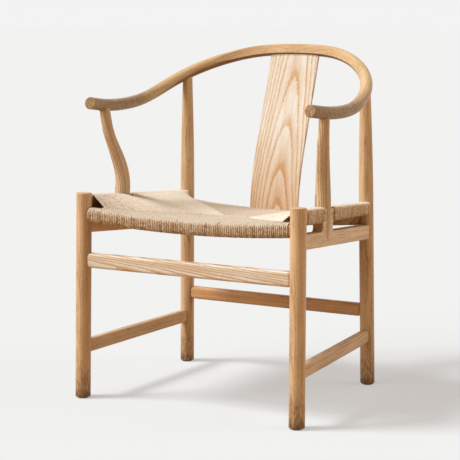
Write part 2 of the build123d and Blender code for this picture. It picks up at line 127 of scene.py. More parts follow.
def node_material(name):
    """New node material, with its empty tree and its output node."""
    material = bpy.data.materials.new(name)
    material.use_nodes = True
    material.node_tree.nodes.clear()
    output = material.node_tree.nodes.new("ShaderNodeOutputMaterial")
    return material, material.node_tree, output


print("Node helpers ready")

# %% [markdown]
# ## A white studio
#
# A room that is white all round would light the chair from everywhere and
# wash out its shaded sides. So the rays are told apart. Rays that look at the
# studio see one pale tone in the floor and beyond it, and the horizon
# disappears. Rays that gather light find a dimmer, warmer room, which leaves
# the shaded side of each leg brown.

# %% World
BACKDROP = 0.895
ROOM_LIGHT = (1.0, 0.71, 0.47)
ROOM_STRENGTH = 0.33


def looking_ray(tree):
    """1 for rays that look at the studio, 0 for rays that gather its light."""
    rays = add_node(tree, "ShaderNodeLightPath").outputs
    looks = maths(tree, "MAXIMUM", rays["Is Camera Ray"], rays["Is Glossy Ray"])
    return maths(tree, "MAXIMUM", looks, rays["Is Transmission Ray"])


world = bpy.data.worlds.new("studio")
scene.world = world
world.use_nodes = True
sky = world.node_tree
sky.nodes.clear()
seen = add_node(sky, "ShaderNodeBackground")
feed(sky, seen.inputs["Color"], grey(BACKDROP))
room = add_node(sky, "ShaderNodeBackground")
feed(sky, room.inputs["Color"], ROOM_LIGHT)
feed(sky, room.inputs["Strength"], ROOM_STRENGTH)
background = mixed_light(sky, looking_ray(sky), room.outputs[0], seen.outputs[0])
out = add_node(sky, "ShaderNodeOutputWorld")
sky.links.new(background, out.inputs["Surface"])
print("Backdrop tone:", BACKDROP)

# %% [markdown]
# The floor is one large square. Looked at, it is a matt surface that takes
# the chair's shadow, thinned by mixing in some of the flat backdrop tone.
# What it throws back at the chair is darker and warmer.

# %% Floor
FLOOR_REACH = 60.0
FLOOR_SEEN = (0.647, 0.694, 0.735)
FLOOR_BOUNCE = (0.42, 0.275, 0.15)
FLAT_SHARE = 0.45

floor_mesh = bpy.data.meshes.new("floor")
corners = ((-1, -1), (1, -1), (1, 1), (-1, 1))
floor_mesh.from_pydata(
    [(x * FLOOR_REACH, y * FLOOR_REACH, 0) for x, y in corners], [], [(0, 1, 2, 3)]
)
floor = bpy.data.objects.new("floor", floor_mesh)
scene.collection.objects.link(floor)
floor_material, tree, output = node_material("floor")
shadowed = add_node(tree, "ShaderNodeBsdfDiffuse")
feed(tree, shadowed.inputs["Color"], FLOOR_SEEN)
flat = add_node(tree, "ShaderNodeEmission")
feed(tree, flat.inputs["Color"], grey(BACKDROP))
bounce = add_node(tree, "ShaderNodeBsdfDiffuse")
feed(tree, bounce.inputs["Color"], FLOOR_BOUNCE)
looked_at = mixed_light(tree, FLAT_SHARE, shadowed.outputs[0], flat.outputs[0])
surface = mixed_light(tree, looking_ray(tree), bounce.outputs[0], looked_at)
tree.links.new(surface, output.inputs["Surface"])
floor_mesh.materials.append(floor_material)
print("Floor reaches, in metres:", FLOOR_REACH)

# %% [markdown]
# The key light comes from the left and high up. A wide, weaker light from the
# front left opens the faces that look forward, and a faint one from behind on
# the right draws the edges. All three are suns: their light is the same
# everywhere, and their spread in degrees sets how soft the shadows are.

# %% Lights
SUNS = (
    # name, direction, strength, spread, colour
    ("key", (0.62, 0.38, -0.95), 3.1, 16, (0.97, 0.99, 1.0)),
    ("front", (0.60, 0.80, -0.42), 1.4, 40, (1.0, 0.975, 0.94)),
    ("edge", (-0.914, -0.406, -0.35), 0.95, 40, (1.0, 0.91, 0.79)),
)

for name, direction, strength, spread_angle, colour in SUNS:
    lamp = bpy.data.lights.new(name, "SUN")
    lamp.energy = strength
    lamp.angle = math.radians(spread_angle)
    lamp.color = colour
    holder = bpy.data.objects.new(name, lamp)
    holder.rotation_euler = Vector(direction).to_track_quat("-Z", "Y").to_euler()
    scene.collection.objects.link(holder)

scene.view_settings.view_transform = "Standard"

# %% [markdown]
# ## Patterns from noise
#
# Wood grain and crumpled paper are both noise, stretched far more one way
# than the other. Scaling the place before the noise stretches it. A picture
# texture would do too, but it blurs when seen closely and shows its seams on
# a round leg, so every pattern here is computed in space.

# %% Noise helpers


def scaled(tree, vector, factors):
    """Vector with each axis multiplied by its own factor."""
    node = add_node(tree, "ShaderNodeVectorMath", operation="MULTIPLY")
    tree.links.new(vector, node.inputs[0])
    node.inputs[1].default_value = factors
    return node.outputs[0]


def axes_of(tree, vector):
    """The x, y and z of a vector, by name."""
    split = add_node(tree, "ShaderNodeSeparateXYZ")
    tree.links.new(vector, split.inputs[0])
    return dict(zip("xyz", split.outputs))


def noise(tree, vector, detail=2.0):
    """Noise from 0 to 1."""
    node = add_node(tree, "ShaderNodeTexNoise")
    node.inputs["Scale"].default_value = 1.0
    node.inputs["Detail"].default_value = detail
    tree.links.new(vector, node.inputs["Vector"])
    return node.outputs["Fac"]


def swing(tree, value, size):
    """Noise from 0 to 1 turned into a swing round zero."""
    return maths(tree, "MULTIPLY", maths(tree, "SUBTRACT", value, 0.5), size)


print("Noise helpers ready")

# %% [markdown]
# A pattern is only numbers until it gets colours. A ramp turns one number
# into a colour through a few stops, and a mix blends two colours.

# %% Colour helpers


def ramp(tree, factor, stops, interpolation="LINEAR"):
    """Colour ramp with (position, colour) stops."""
    node = add_node(tree, "ShaderNodeValToRGB")
    node.color_ramp.interpolation = interpolation
    elements = node.color_ramp.elements
    while len(elements) < len(stops):
        elements.new(0.5)
    for element, (position, colour) in zip(elements, stops):
        element.position = position
        element.color = (*colour, 1)
    tree.links.new(factor, node.inputs[0])
    return node.outputs[0]


def mixed(tree, factor, first, second, blend="MIX"):
    """Mix of two colours."""
    node = add_node(tree, "ShaderNodeMix", data_type="RGBA", blend_type=blend)
    for name, value in (("Factor", factor), ("A", first), ("B", second)):
        feed(tree, [s for s in node.inputs if s.name == name and s.enabled][0], value)
    return [s for s in node.outputs if s.enabled][0]


print("Colour helpers ready")

# %% [markdown]
# ## Ash wood
#
# Ash shows its year rings clearly: a thin brown line of open pores, then a
# paler band. The rings are real cylinders in space, and each board is cut
# from them, so straight lines, arches and end grain all come from one rule.
# A wander bends the lines slowly, and a small jitter frays them into pores.

# %% Year rings
RING_PROFILE = [
    (0.0, grey(0.0)),
    (0.03, grey(1.0)),
    (0.13, grey(0.75)),
    (0.34, grey(0.22)),
    (0.7, grey(0.0)),
]
# stretch of each noise over the grain, and how far it moves a ring
WANDER_STRETCH, WANDER_SIZE = (5.5, 22, 22), 0.010
JITTER_STRETCH, JITTER_SIZE = (130, 420, 420), 0.0022
YEAR_SCALE, YEAR_SHIFT = 0.6, 0.8  # no two years are equally wide
STRENGTH_STRETCH, STRENGTH_GAIN, STRENGTH_LEAST = (9, 60, 60), 0.9, 0.5


def trunk_radius(tree, source):
    """Distance from the heart of the trunk, with wander and jitter."""
    grain = source.outputs["Grain"]
    axes = axes_of(tree, grain)
    slow = noise(tree, scaled(tree, grain, WANDER_STRETCH))
    slow = swing(tree, slow, WANDER_SIZE)
    slow = maths(tree, "MULTIPLY", slow, source.outputs["Wander"])
    quick = noise(tree, scaled(tree, grain, JITTER_STRETCH))
    jitter = swing(tree, quick, JITTER_SIZE)
    across = maths(tree, "POWER", axes["y"], 2.0)
    depth = maths(tree, "POWER", axes["z"], 2.0)
    radius = maths(tree, "SQRT", maths(tree, "ADD", across, depth))
    return maths(tree, "ADD", maths(tree, "ADD", radius, slow), jitter)


def year_rings(tree, source):
    """1 on the line of pores that starts a year, 0 in its pale band."""
    radius = trunk_radius(tree, source)
    year = maths(tree, "DIVIDE", radius, source.outputs["Ring width"])
    year = maths(tree, "MAXIMUM", year, 0.0)
    year = maths(tree, "POWER", year, source.outputs["Growth"])
    uneven = add_node(tree, "ShaderNodeTexNoise", noise_dimensions="1D")
    uneven.inputs["Scale"].default_value = YEAR_SCALE
    tree.links.new(year, uneven.inputs["W"])
    shift = maths(tree, "MULTIPLY", uneven.outputs["Fac"], YEAR_SHIFT)
    year = maths(tree, "ADD", year, shift)
    ring = ramp(tree, maths(tree, "FRACT", year), RING_PROFILE, "EASE")
    place = scaled(tree, source.outputs["Grain"], STRENGTH_STRETCH)
    strength = noise(tree, place, 1.0)
    strength = maths(tree, "MULTIPLY_ADD", strength, STRENGTH_GAIN, STRENGTH_LEAST)
    return maths(tree, "MULTIPLY", ring, strength)


print("Stops in one year's ring:", len(RING_PROFILE))

# %% [markdown]
# All of ash goes into one node group. A copy of the nodes in every material
# would work too, but then a change would have to be made many times. Each
# board gives the group its own direction, ring width and two colours, and
# gets back a colour, a height for the bump and a roughness.

# %% Sockets of the ash group
NUMBERS = {
    "Ring width": 0.003,
    "Growth": 1.0,
    "Contrast": 1.0,
    "Wander": 1.0,
    "Flecks": 1.0,
}
TONES = ("Pale", "Dark")


def group_sockets(tree):
    """Inputs and outputs of the group."""
    face = tree.interface
    face.new_socket("Grain", in_out="INPUT", socket_type="NodeSocketVector")
    for name, value in NUMBERS.items():
        socket = face.new_socket(name, in_out="INPUT", socket_type="NodeSocketFloat")
        socket.default_value = value
    for name in TONES:
        face.new_socket(name, in_out="INPUT", socket_type="NodeSocketColor")
    face.new_socket("Color", in_out="OUTPUT", socket_type="NodeSocketColor")
    face.new_socket("Height", in_out="OUTPUT", socket_type="NodeSocketFloat")
    face.new_socket("Roughness", in_out="OUTPUT", socket_type="NodeSocketFloat")


print("Numbers that a board can set:", list(NUMBERS))

# %% [markdown]
# Over the rings lie fibres, soft bands and clouds, and short dark flecks, all
# long along the grain. Added up, they say how dark each point is between the
# two colours of the board. The lines are also a little sunken and dull, as
# open pores are.

# %% Ash group
LAYERS = {
    # stretch of the noise over the grain, share in the darkness
    "fibre": ((26, 800, 800), 0.35),
    "band": ((7, 190, 190), 0.9),
    "cloud": ((9, 26, 26), 0.8),
}
FLECK_STRETCH = (150, 620, 620)
FLECK_FROM, FLECK_GAIN, FLECK_SHARE = 0.60, 5.0, 0.45
PLAIN_DARKNESS = 0.22
FIBRE_RISE, RING_SINK, FLECK_SINK = 0.6, 0.5, 0.3
ROUGH_GAIN, ROUGH_LEAST = 0.16, 0.36


def dark_flecks(tree, source):
    """Short dark pores: only the peaks of a fine noise are kept."""
    fleck = noise(tree, scaled(tree, source.outputs["Grain"], FLECK_STRETCH), 1.0)
    peak = maths(tree, "SUBTRACT", fleck, FLECK_FROM, clamp=True)
    fleck = maths(tree, "MULTIPLY", peak, FLECK_GAIN, clamp=True)
    return maths(tree, "MULTIPLY", fleck, source.outputs["Flecks"])


def ash_group():
    """Grain vector in metres (x along the grain) in, colour and height out."""
    tree = bpy.data.node_groups.new("Ash wood", "ShaderNodeTree")
    group_sockets(tree)
    source = add_node(tree, "NodeGroupInput")
    sink = add_node(tree, "NodeGroupOutput")
    grain = source.outputs["Grain"]
    ring = year_rings(tree, source)
    layers = {
        name: noise(tree, scaled(tree, grain, stretch), 3.0)
        for name, (stretch, _) in LAYERS.items()
    }
    fleck = dark_flecks(tree, source)
    line = maths(tree, "MULTIPLY", ring, source.outputs["Contrast"])
    for name, (_, share) in LAYERS.items():
        line = maths(tree, "ADD", line, swing(tree, layers[name], share))
    line = maths(tree, "ADD", line, maths(tree, "MULTIPLY", fleck, FLECK_SHARE))
    line = maths(tree, "ADD", line, PLAIN_DARKNESS, clamp=True)
    colour = mixed(tree, line, source.outputs["Pale"], source.outputs["Dark"])
    height = maths(tree, "MULTIPLY", layers["fibre"], FIBRE_RISE)
    height = maths(tree, "MULTIPLY_ADD", ring, -RING_SINK, height)
    sunk = maths(tree, "MULTIPLY", fleck, FLECK_SINK)
    height = maths(tree, "SUBTRACT", height, sunk)
    rough = maths(tree, "MULTIPLY_ADD", line, ROUGH_GAIN, ROUGH_LEAST)
    tree.links.new(colour, sink.inputs["Color"])
    tree.links.new(height, sink.inputs["Height"])
    tree.links.new(rough, sink.inputs["Roughness"])
    return tree


ASH = ash_group()
print("Nodes in the ash group:", len(ASH.nodes))

# %% [markdown]
# Hardly two boards of a chair have the same tone. A palette is a pair of
# colours: the wood between the lines, and the lines themselves. HONEY is for
# the legs, the front and rear rails and the side stretchers, AMBER for the
# rear stretcher, GOLD for the bow and OLIVE for the arm posts. CREAM is for
# the splat and the front stretcher; it is paler wood and partly a painted
# sheen on their wide faces. LIT_RUDDY is for the left side rail, brighter and more
# orange than its wood, as painted bounce light on its inner face, and STRAW
# is for the right one.

# %% Palettes
HONEY = ((0.665, 0.47, 0.275), (0.33, 0.165, 0.06))
AMBER = ((0.68, 0.41, 0.205), (0.36, 0.17, 0.065))
GOLD = ((0.63, 0.45, 0.255), (0.34, 0.19, 0.075))
# paler wood, partly a painted sheen
CREAM = ((0.70, 0.67, 0.605), (0.53, 0.34, 0.18))
# painted bounce light on the left side rail
LIT_RUDDY = ((0.88, 0.585, 0.325), (0.56, 0.30, 0.13))
OLIVE = ((0.66, 0.485, 0.305), (0.33, 0.195, 0.09))
STRAW = ((0.75, 0.55, 0.35), (0.42, 0.24, 0.11))
print("Palettes:", len((HONEY, AMBER, GOLD, CREAM, LIT_RUDDY, OLIVE, STRAW)))

# %% [markdown]
# Old hands and brooms leave their marks, and the same tint paints shade in a
# few shaded places. A stain is a tint multiplied over the grain, in patches
# where it should look dirty and evenly where it should look aged or be
# painted shade. Where it lies is told by the place on the chair, or by the
# way that the surface faces.

# %% Stains and painted shade
BLOTCH_STRETCH = (210, 210, 90)


def smooth_step(tree, value, none, full, curve="SMOOTHERSTEP"):
    """0 at none, 1 at full, with soft ends. none may be the larger number."""
    node = add_node(tree, "ShaderNodeMapRange", interpolation_type=curve)
    tree.links.new(value, node.inputs["Value"])
    node.inputs["From Min"].default_value = none
    node.inputs["From Max"].default_value = full
    return node.outputs[0]


def chair_place(tree):
    """Place on the chair, the same for every piece."""
    return add_node(tree, "ShaderNodeTexCoord").outputs["Object"]


def facing_axes(tree):
    """Direction that the surface faces."""
    return axes_of(tree, add_node(tree, "ShaderNodeNewGeometry").outputs["Normal"])


def stain_and_shade(tree, colour, amount, tint, patchy):
    """Tint over the grain, where amount goes from 0 to 1."""
    blotch = noise(tree, scaled(tree, chair_place(tree), BLOTCH_STRETCH), 4.0)
    patches = maths(tree, "ADD", amount, swing(tree, blotch, patchy))
    patches = maths(tree, "SUBTRACT", patches, 0.1 * patchy)
    patches = maths(tree, "MULTIPLY", patches, amount, clamp=True)
    return mixed(tree, patches, colour, mixed(tree, 1.0, colour, tint, "MULTIPLY"))


print("Stain helpers ready")

# %% [markdown]
# The chair is finished with oil or soap, so its wood is nearly matt. The ash
# group feeds one plain shader, with a low gloss and a very shallow bump. The
# finish replaces whatever material the CAD node came with.

# %% Wood finish
WOOD_GLOSS = 0.22
GRAIN_BUMP, GRAIN_DEPTH = 0.3, 0.0003


def paint(piece, material):
    """One material on a piece, in place of any that it had."""
    piece.data.materials.clear()
    piece.data.materials.append(material)


def finish_wood(
    node,
    shader,
    grain,
    palette,
    ring_width,
    contrast,
    wander,
    growth=1.0,
    flecks=1.0,
    stains_and_shades=(),
):
    """Oiled ash, fed by the ash group and painted on a CAD node."""
    material, tree, output = shader
    group = add_node(tree, "ShaderNodeGroup", node_tree=ASH)
    numbers = zip(NUMBERS, (ring_width, growth, contrast, wander, flecks))
    for name, value in (("Grain", grain), *numbers, *zip(TONES, palette)):
        feed(tree, group.inputs[name], value)
    colour = group.outputs["Color"]
    for mark in stains_and_shades:
        colour = stain_and_shade(tree, colour, *mark)
    bump = add_node(tree, "ShaderNodeBump")
    bump.inputs["Strength"].default_value = GRAIN_BUMP
    bump.inputs["Distance"].default_value = GRAIN_DEPTH
    tree.links.new(group.outputs["Height"], bump.inputs["Height"])
    skin = add_node(tree, "ShaderNodeBsdfPrincipled")
    skin.inputs["Specular IOR Level"].default_value = WOOD_GLOSS
    tree.links.new(colour, skin.inputs["Base Color"])
    tree.links.new(group.outputs["Roughness"], skin.inputs["Roughness"])
    tree.links.new(bump.outputs["Normal"], skin.inputs["Normal"])
    tree.links.new(skin.outputs[0], output.inputs["Surface"])
    paint(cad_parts[node], material)


print("Wood finish ready")

# %% [markdown]
# ## The straight pieces
#
# The legs darken and mottle towards the floor, and each side rail gets painted
# shade in the corner behind the front leg. Each mark has a place where it
# starts and one where it is full.

# %% Marks of use and painted shade
# starts at this height, is full at this one, tint, patchiness
FOOT_MARKS = (
    (0.17, 0.0, (0.50, 0.45, 0.40), 2.6),
    (0.034, 0.004, (0.46, 0.42, 0.38), 1.4),
)
# painted shade in the corner of a side rail, behind the front leg
CORNER_FACING = (0.3, 0.8)
CORNER_ALONG = (-0.200, -0.215)
CORNER_HEIGHT = (0.410, 0.425)
CORNER_SHADE = (0.22, 0.17, 0.13)


def corner_shade(tree, inner, axes):
    """Painted shade on the face that looks inward, right behind the front leg."""
    inward = maths(tree, "MULTIPLY", facing_axes(tree)["x"], inner)
    corner = smooth_step(tree, inward, *CORNER_FACING)
    for axis, limits in (("y", CORNER_ALONG), ("z", CORNER_HEIGHT)):
        near = smooth_step(tree, axes[axis], *limits)
        corner = maths(tree, "MULTIPLY", corner, near)
    return corner, CORNER_SHADE, 0.2


print("Marks on each leg:", len(FOOT_MARKS))

# %% [markdown]
# Legs, rails and stretchers are sawn along the trunk, so their lines run
# straight. The place of a piece in the trunk is a shift of the grain vector
# and, for a board that runs obliquely, a lean. The left and the right leg of
# a pair have the same place, and so they show the same lines.

# %% Straight ash
STRAIGHT_RINGS, STRAIGHT_CONTRAST, STRAIGHT_WANDER = 0.0026, 0.5, 1.0


def joined(tree, x, y, z):
    """Vector of three numbers."""
    node = add_node(tree, "ShaderNodeCombineXYZ")
    for socket, value in zip(node.inputs, (x, y, z)):
        feed(tree, socket, value)
    return node.outputs[0]


def straight_ash(node, along, heart, lean=(0, 0), palette=HONEY, dirty=False, inner=0):
    """Ash with its grain along x, y or z.

    heart is where the trunk's centre line crosses the plane through the
    origin, on the two other axes, and lean is its slope on them. inner is
    the sign of the inward direction of a side rail.
    """
    shader = node_material(f"ash {node}")
    tree = shader[1]
    axes = axes_of(tree, chair_place(tree))
    length = axes[along]
    sides = []
    others = [axis for axis in axes if axis != along]
    for axis, start, slope in zip(others, heart, lean):
        offset = maths(tree, "MULTIPLY_ADD", length, slope, start)
        sides.append(maths(tree, "SUBTRACT", axes[axis], offset))
    stains_and_shades = []
    if dirty:
        for none, full, tint, patchy in FOOT_MARKS:
            stains_and_shades.append((smooth_step(tree, length, none, full), tint, patchy))
    # painted shade in the front corner of a side rail
    if inner:
        stains_and_shades.append(corner_shade(tree, inner, axes))
    grain = joined(tree, length, *sides)
    finish_wood(
        node,
        shader,
        grain,
        palette,
        STRAIGHT_RINGS,
        STRAIGHT_CONTRAST,
        STRAIGHT_WANDER,
        stains_and_shades=stains_and_shades,
    )


print("Straight ash ready")

# %% [markdown]
# The numbers below are the places of the heart. All lie 30 mm or more beside
# the piece, which keeps its lines nearly parallel.

# %% The straight pieces
SPLAY = 0.0655  # how much the sides of the seat narrow towards the back
RAIL_FALL = -0.078  # how much the side rails fall towards the back
for side, sign in (("left", -1), ("right", 1)):
    # the left rail's palette carries painted bounce light
    board = LIT_RUDDY if side == "left" else STRAW
    splay = sign * -SPLAY
    straight_ash(f"front_leg_{side}", "z", (sign * 0.272 + 0.03, -0.20), dirty=True)
    straight_ash(f"rear_leg_{side}", "z", (sign * 0.246 - 0.035, 0.20), dirty=True)
    straight_ash(
        f"side_rail_{side}",
        "y",
        (sign * 0.17, 0.44),
        (splay, RAIL_FALL),
        palette=board,
        inner=-sign,
    )
    straight_ash(f"side_stretcher_{side}", "y", (sign * 0.20, 0.15), (splay, 0))
straight_ash("front_rail", "x", (-0.2, 0.35))
straight_ash("rear_rail", "x", (0.1, 0.35))
straight_ash("rear_stretcher", "x", (0.21, 0.14), palette=AMBER)
print("Straight pieces painted")

# %% [markdown]
# ## The splat
#
# The splat is sawn near the heart, so its rings open as tall arches, one above
# the other. To draw them, the board is placed in the trunk by its height: the
# higher the point, the later the year, and above a certain height the arches
# stretch. It has ripened to a deeper tone towards the seat.

# %% Splat
ARCH = 0.092  # from one arch to the next
FIRST_RING = 0.0186  # from the heart to the first ring
GROWTH = 1.68  # later rings lie closer together
LOW_END, LOW_YEAR = 0.435, 1.80
STRETCH_FROM, STRETCH = 0.60, -13.5
ARCH_MIDDLE, ARCH_WIDTH = 0.010, 0.80

shader = node_material("ash splat")
tree = shader[1]
axes = axes_of(tree, chair_place(tree))
years = maths(tree, "MULTIPLY_ADD", axes["z"], 1 / ARCH, LOW_YEAR - LOW_END / ARCH)
above = maths(tree, "SUBTRACT", axes["z"], STRETCH_FROM, clamp=True)
stretch = maths(tree, "POWER", above, 2.0)
years = maths(tree, "MULTIPLY_ADD", stretch, STRETCH, years)
depth = maths(tree, "POWER", maths(tree, "MAXIMUM", years, 0.1), 1 / GROWTH)
depth = maths(tree, "MULTIPLY", depth, FIRST_RING)
across = maths(tree, "SUBTRACT", axes["x"], ARCH_MIDDLE)
across = maths(tree, "MULTIPLY", across, ARCH_WIDTH)
grain = joined(tree, axes["z"], across, depth)
ripe = (smooth_step(tree, axes["z"], 0.72, 0.40), (0.88, 0.72, 0.57), 0.1)
finish_wood(
    "splat",
    shader,
    grain,
    CREAM,
    ring_width=FIRST_RING,
    contrast=1.0,
    wander=0.2,
    growth=GROWTH,
    flecks=0.35,
    stains_and_shades=[ripe],
)
print("From one arch to the next, in mm:", round(ARCH * 1000))

# %% [markdown]
# ## The front stretcher
#
# This board was sawn at a small angle to the trunk. Its rings come slowly out
# of the wide face and leave long tongues that flow along it. Two slopes give
# that angle: one over the height of the board and one through its depth.

# %% Front stretcher
TONGUE_SLOPE, TONGUE_HEIGHT = 0.045, -0.300
TONGUE_TURN, TONGUE_DEPTH = 0.042, 0.023

shader = node_material("ash front stretcher")
tree = shader[1]
axes = axes_of(tree, chair_place(tree))
height = maths(tree, "MULTIPLY_ADD", axes["x"], TONGUE_SLOPE, TONGUE_HEIGHT)
height = maths(tree, "ADD", height, axes["z"])
depth = maths(tree, "MULTIPLY_ADD", axes["x"], TONGUE_TURN, TONGUE_DEPTH)
finish_wood(
    "front_stretcher",
    shader,
    joined(tree, axes["x"], height, depth),
    CREAM,
    ring_width=0.0042,
    contrast=2.3,
    wander=0.7,
    flecks=0.6,
)
print("Front stretcher painted")

# %% [markdown]
# ## The arm posts
#
# An arm post is bent twice, and the lines of its wood follow the bend. So the
# heart of the trunk is moved sideways and forward with the height, by the
# same amount as the post.

# %% Arm posts
BEND_LOW, BEND_HIGH = 0.455, 0.68
POST_X, POST_OUT, HEART_BESIDE = 0.2585, 0.023, 0.030
POST_Y, POST_FORWARD = -0.085, -0.044

for side, sign in (("left", -1), ("right", 1)):
    shader = node_material(f"ash arm_post_{side}")
    tree = shader[1]
    axes = axes_of(tree, chair_place(tree))
    bend = smooth_step(tree, axes["z"], BEND_LOW, BEND_HIGH)
    heart_x = sign * POST_X + HEART_BESIDE
    sideways = maths(tree, "MULTIPLY_ADD", bend, sign * POST_OUT, heart_x)
    forward = maths(tree, "MULTIPLY_ADD", bend, POST_FORWARD, POST_Y)
    grain = joined(
        tree,
        axes["z"],
        maths(tree, "SUBTRACT", axes["x"], sideways),
        maths(tree, "SUBTRACT", axes["y"], forward),
    )
    finish_wood(
        f"arm_post_{side}",
        shader,
        grain,
        OLIVE,
        ring_width=0.0036,
        contrast=1.15,
        wander=0.35,
    )
print("Arm posts painted")

# %% [markdown]
# ## The bow
#
# The bow is bent, so its grain follows the horseshoe round: a half circle
# with two straight arms, which climbs towards the back. The length along the
# bow is an angle times a radius at the back, and plain y on the arms. Hands
# have greyed the arms, the underside away from them is darkened with painted
# shade, and the two end faces are pale.

# %% Bow
BEND_RADIUS = 0.275
BOW_LOW, BOW_CLIMB = 0.662, 0.123
CLIMB_START, CLIMB_END = -0.09, 0.44
HEART_OUT, HEART_BELOW = 0.31, 0.03


def bow_grain(tree, axes):
    """Grain vector that follows the horseshoe."""
    back = maths(tree, "MAXIMUM", axes["y"], 0.0)
    wide = maths(tree, "ABSOLUTE", axes["x"])
    squares = [maths(tree, "POWER", value, 2.0) for value in (back, wide)]
    spoke = maths(tree, "SQRT", maths(tree, "ADD", *squares))
    turn = maths(tree, "ARCTAN2", back, wide)
    turn = maths(tree, "MULTIPLY", turn, BEND_RADIUS)
    along = maths(tree, "ADD", turn, maths(tree, "MINIMUM", axes["y"], 0.0))
    share = smooth_step(tree, along, CLIMB_START, CLIMB_END)
    climb = maths(tree, "MULTIPLY_ADD", share, BOW_CLIMB, BOW_LOW)
    rise = maths(tree, "SUBTRACT", axes["z"], climb)
    along = maths(tree, "MULTIPLY", along, maths(tree, "SIGN", axes["x"]))
    spoke = maths(tree, "SUBTRACT", spoke, HEART_OUT)
    return joined(tree, along, spoke, maths(tree, "ADD", rise, HEART_BELOW))


shader = node_material("ash bow")
tree = shader[1]
axes = axes_of(tree, chair_place(tree))
facing = facing_axes(tree)
held = smooth_step(tree, axes["y"], 0.16, -0.06)
# painted shade on the underside of the bow, away from the arms
below = smooth_step(tree, facing["z"], 0.05, -0.4)
below = maths(tree, "MULTIPLY", below, maths(tree, "SUBTRACT", 1.0, held))
sawn = smooth_step(tree, facing["y"], -0.80, -0.95)
finish_wood(
    "bow",
    shader,
    bow_grain(tree, axes),
    GOLD,
    ring_width=0.0036,
    contrast=0.25,
    wander=0.5,
    flecks=2.2,
    stains_and_shades=[
        # where it lies, tint, patchiness
        (held, (0.45, 0.42, 0.37), 1.8),
        # painted shade under the bow
        (below, (0.43, 0.30, 0.20), 0.3),
        (sawn, (1.0, 0.95, 0.92), 0.6),
    ],
)
print("Bow painted")

# %% [markdown]
# ## The glides
#
# Small plastic glides keep the legs off the floor. They show as a thin dark
# line only, so one plain dark material is enough.

# %% Glides
GLIDE_COLOUR = (0.02, 0.018, 0.017)
GLIDE_ROUGHNESS = 0.6

dark, tree, output = node_material("glide")
skin = add_node(tree, "ShaderNodeBsdfPrincipled")
feed(tree, skin.inputs["Base Color"], GLIDE_COLOUR)
skin.inputs["Roughness"].default_value = GLIDE_ROUGHNESS
tree.links.new(skin.outputs[0], output.inputs["Surface"])
glides = [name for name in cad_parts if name.startswith("glide")]
for name in glides:
    paint(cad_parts[name], dark)
print("Glides painted:", len(glides))

# %% [markdown]
# ## The cord seat
#
# The seat is wound, not upholstered. A cord goes over one rail, across the
# seat to a seam, down between its neighbours and on to the next rail. Four
# such fields meet in diagonal seams and close on a short ridge. A woven
# texture on a cushion would be quicker, but its edges would look printed, so
# every pass is one strand here.

# %% Measures of the seat
PITCH = 0.0045  # from one strand to the next
CORD_RADIUS = 0.00203
SKIN = CORD_RADIUS + 0.0001  # from the wood to the middle of the cord
DIP = 0.013  # of the front and rear rails in their middle
RIDGE_HALF = 0.034
RIDGE_Y = -0.032
RIDGE_TOP = 0.4075
RIDGE_UNDER = 0.3955

# y, z and half_span place the rail, corner is where its seams start, face is
# the inward direction, wrap is how far the strands go, and seam_top,
# seam_bend and seam_under give the heights of its seams
FRONT = {
    "y": -0.2587,
    "z": 0.4258,
    "half_span": 0.2702,
    "corner": (0.2285, -0.2415),
    "face": 1,
    "wrap": 0.2285,
    "seam_top": 0.4395,
    "seam_bend": 0.85,
    "seam_under": 0.4085,
}
REAR = {
    "y": 0.1554,
    "z": 0.4000,
    "half_span": 0.2429,
    "corner": (0.2320, 0.1375),
    "face": -1,
    "wrap": 0.2245,
    "seam_top": 0.4200,
    "seam_bend": 2,
    "seam_under": 0.3850,
}
BAR = {"half_depth": 0.010, "half_height": 0.0125, "corner": 0.006}


def dip_at(half_span, x):
    """Drop of a dipped rail below its ends at a distance x from its middle."""
    radius = (half_span**2 + DIP**2) / (2 * DIP)
    return DIP - radius + math.sqrt(radius**2 - x**2)


def seam_point(rail, share, under=False):
    """Point of a seam, from the corner (share 0) to the ridge (share 1)."""
    x = rail["corner"][0] + (RIDGE_HALF - rail["corner"][0]) * share
    y = rail["corner"][1] + (RIDGE_Y - rail["corner"][1]) * share
    if under:
        low = rail["seam_under"]
        return np.array([x, y, low + (RIDGE_UNDER - low) * share])
    top = rail["seam_top"]
    return np.array([x, y, top - (top - RIDGE_TOP) * share ** rail["seam_bend"]])


print("Ridge in mm:", round(2 * RIDGE_HALF * 1000), "at y", RIDGE_Y)

# %% [markdown]
# A side rail runs obliquely, so it gets three directions of its own: along,
# up and in. Only its thin upper bar carries cord. The bar is thicker at the
# front, and a bridge under the arm post interrupts the winding.

# %% Measures of the side rails
RAIL_FRONT = np.array([0.2702, -0.2587, 0.4242])
RAIL_REAR = np.array([0.2430, 0.1556, 0.3918])
RAIL = {
    "half_depth": 0.0125,
    "top": 0.0412,
    "corner": 0.0025,
    "front_height": 0.0273,
    "rear_height": 0.0210,
}
BRIDGE_GAP = 0.0005
BRIDGE = (-0.0975 - BRIDGE_GAP, -0.0385 + BRIDGE_GAP)
SIDE_WRAP = (-0.1890, 0.1895)

RAIL_LENGTH = float(np.linalg.norm(RAIL_REAR - RAIL_FRONT))
RAIL_ALONG = (RAIL_REAR - RAIL_FRONT) / RAIL_LENGTH
RAIL_UP = np.array([0, 0, 1.0]) - RAIL_ALONG[2] * RAIL_ALONG
RAIL_UP /= np.linalg.norm(RAIL_UP)
RAIL_IN = np.cross(RAIL_ALONG, RAIL_UP)
RAIL_IN *= -np.sign(RAIL_IN[0])
RAIL_MIDDLE = (RAIL_FRONT + RAIL_REAR) / 2


def upper_bar_under(position):
    """Underside of a side rail's upper bar, in the rail's own height."""
    share = position / RAIL_LENGTH + 0.5
    taper = (RAIL["front_height"] - RAIL["rear_height"]) * share
    return RAIL["top"] - RAIL["front_height"] + taper


print("Side rail length in mm:", round(RAIL_LENGTH * 1000, 1))

